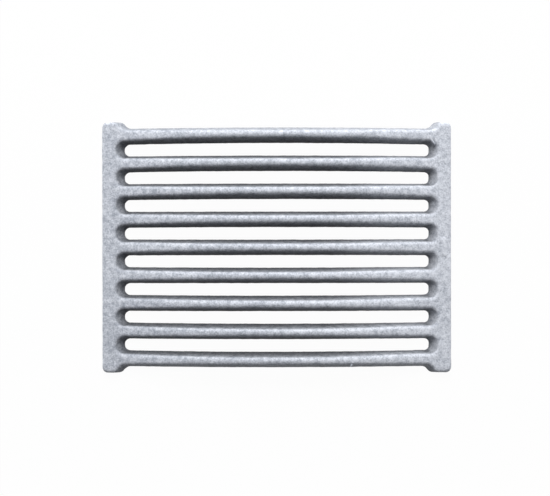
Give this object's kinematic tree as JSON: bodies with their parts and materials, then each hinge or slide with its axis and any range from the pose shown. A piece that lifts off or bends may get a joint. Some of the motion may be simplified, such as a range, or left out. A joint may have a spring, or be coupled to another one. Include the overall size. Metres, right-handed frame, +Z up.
{
  "type": "cast iron grate",
  "caption": "Rectangular cast iron fire grate: arched, tapered bars with round-ended slots between flat end rails, and a small ear at each corner.",
  "frame": {"origin": "middle of the rails' undersides, on the plane that the grate rests on", "axes": "+X along the bars, +Y across them, +Z up towards the crests of the bars"},
  "size_m": [0.28, 0.2012, 0.023],
  "materials": {
    "iron": "bare grey cast iron, blast-cleaned to a light silver with a fine sand-cast grain"
  },
  "bodies": {
    "root": {"grate": "iron"}
  },
  "joints": []
}
